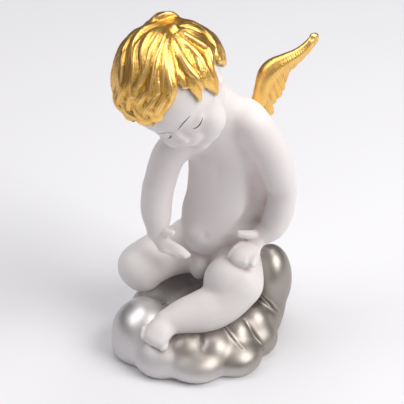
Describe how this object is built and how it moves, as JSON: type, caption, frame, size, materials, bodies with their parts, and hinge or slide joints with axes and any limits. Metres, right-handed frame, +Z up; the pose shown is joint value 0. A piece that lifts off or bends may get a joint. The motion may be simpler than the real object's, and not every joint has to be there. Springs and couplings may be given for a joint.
{
  "type": "porcelain cherub figurine",
  "caption": "Winged porcelain child with gilded hair and wings, seated with bowed head on a silvered cloud with a flat underside.",
  "frame": {"origin": "on the surface it stands on, under the middle of the cloud", "axes": "+Z up, the child faces -Y and its own left side is at +X"},
  "size_m": [0.1072, 0.1021, 0.1908],
  "materials": {
    "bisque_porcelain": "unglazed, smooth and matt, with fine painted lines on the face",
    "gold_lustre": "bright burnished gold lustre over glaze",
    "silver_lustre": "satin platinum lustre over glaze"
  },
  "bodies": {
    "root": {"cherub_figure": "bisque_porcelain", "left_wing": "gold_lustre", "right_wing": "gold_lustre", "cloud_base": "silver_lustre"}
  },
  "joints": []
}
